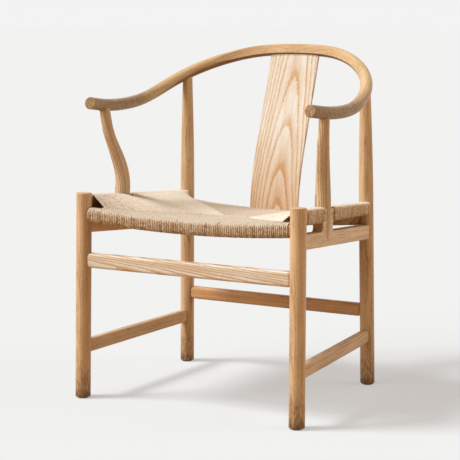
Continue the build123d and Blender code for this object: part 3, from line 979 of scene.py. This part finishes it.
# %% [markdown]
# A taut string leaves a rounded corner where it points straight at its goal.
# The functions below find that place on the upper and the lower inner corner,
# and return the turn round the rail between the two.

# %% The wrap round one rail


def corner_arc(centre, radius, start, stop, steps):
    """Points round a corner, from one angle in degrees to another."""
    angles = np.linspace(math.radians(start), math.radians(stop), steps)
    return [
        (centre[0] + radius * math.cos(a), centre[1] + radius * math.sin(a))
        for a in angles
    ]


def leave_angle(centre, radius, goal, sense):
    """Angle at which the string leaves the corner. sense is 1 above, -1 below."""
    for degrees in np.linspace(90, 0, 31):
        a = math.radians(degrees)
        x = centre[0] + radius * math.cos(a)
        y = centre[1] + sense * radius * math.sin(a)
        tangent = (math.sin(a), -sense * math.cos(a))
        to_goal = (goal[0] - x, goal[1] - y)
        if sense * (tangent[0] * to_goal[1] - tangent[1] * to_goal[0]) >= 0:
            return degrees
    return 0.0


def wrap(half_depth, bottom, top, corner, goal_over, goal_under):
    """2-D turn round a bar: x is inward, y is up. Starts below, ends on top."""
    radius = corner + SKIN
    inner = half_depth - corner
    low = bottom + corner
    high = top - corner
    under = leave_angle((inner, low), radius, goal_under, -1)
    over = leave_angle((inner, high), radius, goal_over, 1)
    turn = corner_arc((inner, low), radius, -under, -90, 4)
    turn += corner_arc((-inner, low), radius, -90, -180, 5)
    turn += corner_arc((-inner, high), radius, 180, 90, 5)
    turn += corner_arc((inner, high), radius, 90, over, 4)
    return turn


half_height = BAR["half_height"]
goals = ((0.2, 0.0), (0.2, -0.02))
sample = wrap(BAR["half_depth"], -half_height, half_height, BAR["corner"], *goals)
print("Points in one turn round a rail:", len(sample))

# %% [markdown]
# ## From a turn to a strand
#
# A strand starts at its seam under the seat, runs to the rail, turns round it
# and runs back over the seat to the seam. At both ends it dives between its
# neighbours, which closes the seam.

# %% Ends and runs of a strand
DIVE_REACH = (0.0016, 0.0034)  # how far the two last points go past the seam
DIVE_OVER = 0.0035
DIVE_UNDER = -0.003
SAME_POINT = 2e-5
LEVEL_STEPS, SIDE_STEPS, UNDER_STEPS = 14, 16, 7


def without_repeats(points):
    """The same line without points that lie on top of each other."""
    points = np.array(points)
    apart = np.linalg.norm(np.diff(points, axis=0), axis=1) > SAME_POINT
    return points[np.concatenate([[True], apart])]


def straight_run(start, stop, steps):
    """Points of a straight line after its start."""
    shares = np.linspace(0, 1, steps + 1)[1:]
    return [start + (stop - start) * share for share in shares]


def dive(point, direction, depth):
    """Last bend of a strand, where it goes down between its neighbours."""
    near, far = DIVE_REACH
    return [
        point + direction * near + np.array([0, 0, -0.25 * depth]),
        point + direction * far + np.array([0, 0, -depth]),
    ]


def whole_strand(tail, turn, head, over, under, inward):
    """The line of a strand, with a dive at both ends."""
    first = dive(under, inward, DIVE_UNDER)[::-1]
    last = dive(over, inward, DIVE_OVER)
    return without_repeats(first + tail + turn + head + last)


print("Past the seam, in mm:", [reach * 1000 for reach in DIVE_REACH])

# %% [markdown]
# The front and rear rails dip in their middle, so the height of a strand
# follows from its place along the rail. The turn is worked out in the plane
# of the strand and then put into space.

# %% Strands of the front and rear rails


def level_strand(rail, x_rail, over, under):
    """One strand of the front or rear field, from seam to seam."""
    z = rail["z"] - dip_at(rail["half_span"], x_rail)
    face = rail["face"]
    low, high = z - BAR["half_height"], z + BAR["half_height"]
    goals = [(face * (goal[1] - rail["y"]), goal[2]) for goal in (over, under)]
    turn = wrap(BAR["half_depth"], low, high, BAR["corner"], *goals)
    points = [np.array([x_rail, rail["y"] + face * s, h]) for s, h in turn]
    head = straight_run(points[-1], over, LEVEL_STEPS)
    tail = straight_run(points[0], under, UNDER_STEPS)[::-1]
    return whole_strand(tail, points, head, over, under, np.array([0, face, 0]))


print("Dip 0.1 m from the middle, in mm:", round(dip_at(0.27, 0.1) * 1000, 1))

# %% [markdown]
# The bridge under the arm post takes some of the room on a side rail. So the
# strands are crowded at the rail, and each leans over to its own place on the
# seat within a few centimetres of it.

# %% Strands of the side rails
LEAN_LENGTH = 0.012


def leaning_run(start, goal, steps, edge_y):
    """Run from a side rail to a seam that first leans over to edge_y."""
    run = straight_run(start, goal, steps)
    shift = edge_y - start[1]
    for point in run:
        gone = np.linalg.norm(point - start)
        share = gone / np.linalg.norm(goal - start)
        lean = 1 - math.exp(-gone / LEAN_LENGTH)
        point[1] += shift * lean * (1 - share)
    return run


def side_strand(position, edge_y, over, under):
    """One strand of a side field. edge_y is where it reaches the open seat."""
    base = RAIL_MIDDLE + RAIL_ALONG * position
    low = upper_bar_under(position)
    goals = [
        (float((goal - base) @ RAIL_IN), float((goal - base) @ RAIL_UP))
        for goal in (over, under)
    ]
    turn = wrap(RAIL["half_depth"], low, RAIL["top"], RAIL["corner"], *goals)
    points = [base + RAIL_IN * s + RAIL_UP * h for s, h in turn]
    head = leaning_run(points[-1], over, SIDE_STEPS, edge_y)
    tail = leaning_run(points[0], under, UNDER_STEPS, edge_y)[::-1]
    return whole_strand(tail, points, head, over, under, np.array([-1.0, 0, 0]))


print("Lean of a side strand, in mm:", LEAN_LENGTH * 1000)

# %% [markdown]
# ## The front and rear fields
#
# On each of these rails the strands go to the left seam, to the right seam and
# to the ridge between them. The front is wider than the back, so extra turns
# fill the two ends of its rail. They go round it and no further.

# %% Front and rear fields
SEAM_SINK = 0.0006  # how much lower these strands meet the seam
FRONT_END = 0.2515
END_REACH = 0.0150
END_TOP, END_UNDER = 0.4280, 0.4100


def spread(count, low, high):
    """Middle places of count strands side by side."""
    return low + (high - low) * (np.arange(count) + 0.5) / count


strands = []
for rail in (FRONT, REAR):
    rail["per_side"] = int(round((rail["corner"][0] - RIDGE_HALF) / PITCH))
    ridge_count = int(round(2 * RIDGE_HALF / PITCH))
    for sign in (-1, 1):
        for share in spread(rail["per_side"], 0, 1):
            over = seam_point(rail, share)
            under = seam_point(rail, share, under=True)
            x_rail = sign * over[0] * rail["wrap"] / rail["corner"][0]
            over[0] *= sign
            under[0] *= sign
            over[2] -= SEAM_SINK
            strands.append(level_strand(rail, x_rail, over, under))
    for x in spread(ridge_count, -RIDGE_HALF, RIDGE_HALF):
        over = np.array([x, RIDGE_Y, RIDGE_TOP])
        under = np.array([x, RIDGE_Y, RIDGE_UNDER])
        x_rail = x * rail["wrap"] / rail["corner"][0]
        strands.append(level_strand(rail, x_rail, over, under))

extra = int(round((FRONT_END - FRONT["wrap"]) / PITCH))
for sign in (-1, 1):
    for x in sign * spread(extra, FRONT["wrap"], FRONT_END):
        over = np.array([x, FRONT["y"] + END_REACH, END_TOP])
        under = np.array([x, FRONT["y"] + END_REACH, END_UNDER])
        strands.append(level_strand(FRONT, x, over, under))
print("Strands of the front and rear fields:", len(strands))

# %% [markdown]
# ## The side fields
#
# Each seam has as many strands on one side as on the other, so the side fields
# take their number from the two fields above. They are shared out before and
# behind the bridge of the rail, and a narrow crease stays open at the post.

# %% Side fields
CREASE = 0.0022
SIDE_SHORT = 0.0012  # how much nearer to the middle these strands end
SIDE_LIFT = 0.0008

seam_shares = [(FRONT, share) for share in spread(FRONT["per_side"], 0, 1)]
seam_shares += [(REAR, share) for share in spread(REAR["per_side"], 0, 1)[::-1]]
side_count = len(seam_shares)
room_before, room_behind = BRIDGE[0] - SIDE_WRAP[0], SIDE_WRAP[1] - BRIDGE[1]
before = int(round(side_count * room_before / (room_before + room_behind)))
behind = side_count - before
positions = np.concatenate(
    [spread(before, SIDE_WRAP[0], BRIDGE[0]), spread(behind, BRIDGE[1], SIDE_WRAP[1])]
)
post_y = float((RAIL_MIDDLE + RAIL_ALONG * sum(BRIDGE) / 2)[1])
edges = np.concatenate(
    [
        spread(before, FRONT["corner"][1], post_y - CREASE),
        spread(behind, post_y + CREASE, REAR["corner"][1]),
    ]
)
for sign in (-1, 1):
    for (rail, share), position, edge_y in zip(seam_shares, positions, edges):
        over = seam_point(rail, share)
        under = seam_point(rail, share, under=True)
        over[0] -= SIDE_SHORT
        over[2] += SIDE_LIFT
        strand = side_strand(position, edge_y, over, under)
        strand[:, 0] *= sign
        strands.append(strand)
cord_length = sum(
    np.linalg.norm(np.diff(line, axis=0), axis=1).sum() for line in strands
)
print("Strands:", len(strands), "with", before, "before each arm post")
print("Cord that shows, in metres:", round(float(cord_length), 1))

# %% [markdown]
# ## From strands to tubes
#
# A curve with a round bevel would make tubes too, but it gives no say over the
# UV map. So each strand becomes rings of points, with a frame that is carried
# along the line and never twists by itself.

# %% Rings round a line


def tube(points, radius, sides):
    """Ring points round a line, and the length along it at each ring."""
    steps = np.diff(points, axis=0)
    lengths = np.linalg.norm(steps, axis=1)
    units = steps / lengths[:, None]
    tangents = np.vstack([units[:1], units[:-1] + units[1:], units[-1:]])
    tangents /= np.linalg.norm(tangents, axis=1)[:, None]
    start = np.cross(tangents[0], [0.31, 0.87, 0.38])  # any direction will do
    normal = start / np.linalg.norm(start)
    angles = np.arange(sides) * 2 * math.pi / sides
    rings = np.empty((len(points), sides, 3))
    for i, tangent in enumerate(tangents):
        normal = normal - tangent * (normal @ tangent)
        normal /= np.linalg.norm(normal)
        other = np.cross(tangent, normal)
        rings[i] = points[i] + radius * (
            np.outer(np.cos(angles), normal) + np.outer(np.sin(angles), other)
        )
    return rings.reshape(-1, 3), np.concatenate([[0], np.cumsum(lengths)])


print("Tube helper ready")

# %% [markdown]
# Quads join each ring to the next. The UV map keeps metres along the cord and
# turns round it, so the material can lay the twist of the plies on any strand
# without stretching.

# %% Faces and UV map of a tube


def tube_faces(count, sides):
    """Quads between count rings."""
    i = np.arange(count - 1)[:, None]
    j = np.arange(sides)[None, :]
    k = (j + 1) % sides
    ring, following = i * sides, (i + 1) * sides
    quads = np.stack([ring + j, ring + k, following + k, following + j], axis=-1)
    return quads.reshape(-1, 4)


def tube_map(along, sides):
    """UV of the corners of the same quads: metres along, turns round."""
    shape = (len(along) - 1, sides)
    j = np.arange(sides)[None, :]
    u0 = np.broadcast_to(along[:-1, None], shape)
    u1 = np.broadcast_to(along[1:, None], shape)
    v0 = np.broadcast_to(j / sides, shape)
    v1 = np.broadcast_to((j + 1) / sides, shape)
    corners = ((u0, v0), (u0, v1), (u1, v1), (u1, v0))
    return np.stack([np.stack(uv, -1) for uv in corners], axis=2).reshape(-1, 2)


print("Faces of a tube with 10 rings:", len(tube_faces(10, 7)))

# %% [markdown]
# Blender can build a mesh point by point, but with a hundred thousand faces
# that takes long. Whole arrays are handed over at once instead.

# %% Mesh from arrays


def quad_mesh(name, vertices, faces, coordinates, tones):
    """Smooth mesh of quads, with its UV map and a tone for each point."""
    mesh = bpy.data.meshes.new(name)
    mesh.vertices.add(len(vertices))
    mesh.vertices.foreach_set("co", vertices.ravel())
    mesh.loops.add(faces.size)
    mesh.loops.foreach_set("vertex_index", faces.ravel())
    mesh.polygons.add(len(faces))
    mesh.polygons.foreach_set("loop_start", np.arange(0, faces.size, 4))
    mesh.polygons.foreach_set("use_smooth", np.ones(len(faces), dtype=bool))
    layer = mesh.uv_layers.new(name="along")
    layer.data.foreach_set("uv", coordinates.ravel())
    shade = mesh.attributes.new("tone", "FLOAT", "POINT")
    shade.data.foreach_set("value", tones)
    mesh.update(calc_edges=True)
    mesh.validate()
    return mesh


print("Mesh helper ready")

# %% [markdown]
# ## The woven seat
#
# Hand-wound cord is never quite even. Every strand gets its own slight wobble
# in height, its own thickness and its own tone, all from one seeded source of
# chance, so that the seat comes out the same each time.

# %% Woven seat
CORD_SIDES = 7
WOBBLE = 0.00012
THICKNESS_SPREAD = 0.025

chance = np.random.default_rng(7)


def smooth_wobble(count, size):
    """Slow random offsets along a strand."""
    keys = chance.normal(0, size, max(3, count // 6))
    return np.interp(np.linspace(0, len(keys) - 1, count), np.arange(len(keys)), keys)


def cord_object(name, lines, sides):
    """All strands as the tubes of one mesh."""
    vertices, faces, coordinates, tones = [], [], [], []
    offset = 0
    for line in lines:
        count = len(line)
        line = line.copy()
        line[:, 2] += smooth_wobble(count, WOBBLE)
        radius = CORD_RADIUS * chance.normal(1.0, THICKNESS_SPREAD)
        rings, along = tube(line, radius, sides)
        start = chance.uniform(0, 0.05)
        tone = chance.normal(0, 1)
        vertices.append(rings)
        faces.append(tube_faces(count, sides) + offset)
        coordinates.append(tube_map(along + start, sides))
        tones.append(np.full(count * sides, tone))
        offset += count * sides
    parts = [np.concatenate(part) for part in (vertices, faces, coordinates, tones)]
    piece = bpy.data.objects.new(name, quad_mesh(name, *parts))
    scene.collection.objects.link(piece)
    return piece


seat = cord_object("woven_seat", strands, CORD_SIDES)
print("Seat faces:", len(seat.data.polygons))

# %% [markdown]
# ## Paper cord
#
# Paper cord is a twist of three plies. A slanted groove runs between the
# plies, and painted shade makes the groove darker. The paper is also crumpled
# along its length. Real plies would need three times the faces, and at the
# size of a seat they are hardly seen, so they are drawn on the round tube.

# %% Plies and crumple
PLIES = 3.0
PLY_LENGTH = 0.0062  # along the cord, from one groove to the next
PLY_ROUNDNESS = 0.7
# crumples per metre along the cord, per turn round it and per step of tone
CRUMPLE_STRETCH = (290.0, 2.0, 37.0)


def ply_hill(tree, cord):
    """Height of the cord's surface: 0 in the groove, 1 on top of a ply."""
    along = maths(tree, "DIVIDE", cord["x"], PLY_LENGTH)
    around = maths(tree, "MULTIPLY", cord["y"], PLIES)
    ply = maths(tree, "FRACT", maths(tree, "ADD", along, around))
    hill = maths(tree, "SINE", maths(tree, "MULTIPLY", ply, math.pi))
    return maths(tree, "POWER", hill, PLY_ROUNDNESS)


def crumpled_paper(tree, cord, tone):
    """Fine noise, short along the cord and different on every strand."""
    place = (cord["x"], cord["y"], tone)
    axes = [maths(tree, "MULTIPLY", *pair) for pair in zip(place, CRUMPLE_STRETCH)]
    return noise(tree, joined(tree, *axes))


print("Plies:", int(PLIES), "and mm from groove to groove:", PLY_LENGTH * 1000)

# %% [markdown]
# The outside of each turn is darker, partly browned paper and partly painted
# shade, and painted shade darkens the grooves between the plies, while the
# paper that faces the sky is lighter. So the direction that the surface faces
# is mixed with the plies and the crumple into one level, and a ramp turns that
# level into the tones of paper.

# %% Cord material
CORD_TONES = [
    (0.0, (0.20, 0.105, 0.045)),
    (0.3, (0.50, 0.335, 0.195)),
    (0.6, (0.69, 0.57, 0.44)),
    (1.0, (0.735, 0.675, 0.585)),
]
SKY_FROM, SKY_FULL = -0.25, 0.85
# painted shade in the ply grooves and on the sides and underside of each turn, which
# are partly browned paper too
TONE_SHARE, GROOVE_SHADE_SHARE, SKY_SHADE_SHARE = 0.08, 0.35, 0.60
SPECKLE, SKY_SPECKLE = 1.3, 1.3
PAPER_LEVEL = 0.08
CORD_ROUGHNESS, CORD_GLOSS = 0.72, 0.15
TWIST_BUMP, TWIST_DEPTH, CRUMPLE_RISE = 0.8, 0.0005, 0.5


def cord_material():
    """Paper cord for a mesh with the map "along" and the attribute "tone"."""
    material, tree, output = node_material("paper cord")
    place = add_node(tree, "ShaderNodeUVMap", uv_map="along")
    cord = axes_of(tree, place.outputs[0])
    tone = add_node(tree, "ShaderNodeAttribute", attribute_name="tone").outputs["Fac"]
    hill = ply_hill(tree, cord)
    crumple = crumpled_paper(tree, cord, tone)
    up = facing_axes(tree)["z"]
    sky_side = smooth_step(tree, up, SKY_FROM, SKY_FULL, "SMOOTHSTEP")
    speckle = maths(tree, "MULTIPLY_ADD", sky_side, SKY_SPECKLE, SPECKLE)
    level = maths(tree, "MULTIPLY", tone, TONE_SHARE)
    # painted shade in the ply grooves and away from the sky
    for layer, share in ((hill, GROOVE_SHADE_SHARE), (sky_side, SKY_SHADE_SHARE)):
        level = maths(tree, "ADD", level, maths(tree, "MULTIPLY", layer, share))
    level = maths(tree, "ADD", level, swing(tree, crumple, speckle))
    level = maths(tree, "ADD", level, PAPER_LEVEL, clamp=True)
    bump = add_node(tree, "ShaderNodeBump")
    bump.inputs["Strength"].default_value = TWIST_BUMP
    bump.inputs["Distance"].default_value = TWIST_DEPTH
    height = maths(tree, "MULTIPLY_ADD", crumple, CRUMPLE_RISE, hill)
    tree.links.new(height, bump.inputs["Height"])
    skin = add_node(tree, "ShaderNodeBsdfPrincipled")
    skin.inputs["Roughness"].default_value = CORD_ROUGHNESS
    skin.inputs["Specular IOR Level"].default_value = CORD_GLOSS
    tree.links.new(ramp(tree, level, CORD_TONES), skin.inputs["Base Color"])
    tree.links.new(bump.outputs["Normal"], skin.inputs["Normal"])
    tree.links.new(skin.outputs[0], output.inputs["Surface"])
    return material


CORD_LOOK = cord_material()
seat.data.materials.append(CORD_LOOK)
paint(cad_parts["seat_cord"], CORD_LOOK)
print("Nodes in the cord material:", len(CORD_LOOK.node_tree.nodes))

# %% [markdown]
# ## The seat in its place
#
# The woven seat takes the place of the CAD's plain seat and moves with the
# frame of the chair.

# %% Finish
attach(seat, "root")
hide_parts("seat_cord")
